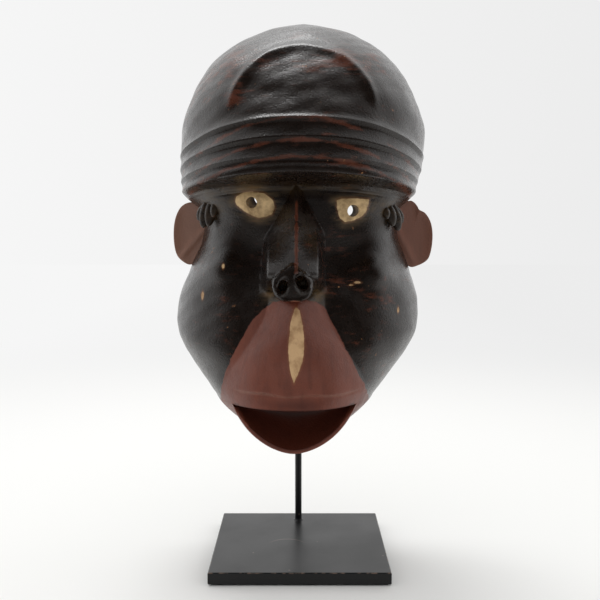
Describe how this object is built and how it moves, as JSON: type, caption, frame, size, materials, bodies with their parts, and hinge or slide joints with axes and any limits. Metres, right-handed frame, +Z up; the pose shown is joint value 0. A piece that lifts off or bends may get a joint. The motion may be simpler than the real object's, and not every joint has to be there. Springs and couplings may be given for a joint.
{
  "type": "carved wooden mask",
  "caption": "Carved and painted wooden face mask, hollow behind, resting by a hidden socket bracket on a steel rod and square base plate.",
  "frame": {"origin": "centre of the base's underside, where its felt meets the surface it stands on", "axes": "+Z up along the rod, +Y to the back, +X to the right of someone who looks at the face, which looks along -Y"},
  "size_m": [0.187, 0.1514, 0.3825],
  "materials": {
    "stand_steel": "satin black paint, chipped at the edges",
    "rod_steel": "satin black paint, rubbed",
    "bracket_steel": "satin black paint",
    "black_vinyl": "soft matt vinyl",
    "black_felt": "pressed felt",
    "zinc_screws": "dull zinc",
    "carved_wood": "dark oiled patina with red-brown and cream pigments"
  },
  "bodies": {
    "stand": {"base_plate": "stand_steel", "base_felt": "black_felt", "upright_rod": "rod_steel", "foot_weld": "stand_steel"},
    "cap": {"rod_cap": "black_vinyl"},
    "mask": {"mask_carving": "carved_wood", "socket_tube": "bracket_steel", "cross_strap": "bracket_steel", "tube_welds": "bracket_steel", "tab_pads": "black_felt", "strap_screws": "zinc_screws"}
  },
  "joints": [
    {"name": "mask_lift", "type": "slide", "parent": "stand", "child": "cap", "axis": [0, 0, 1], "range_m": [0, 0.045]},
    {"name": "mask_turn", "type": "hinge", "parent": "cap", "child": "mask", "pos_m": [-0.001, 0.045, 0.28], "axis": [0, 0, 1], "continuous": true}
  ]
}
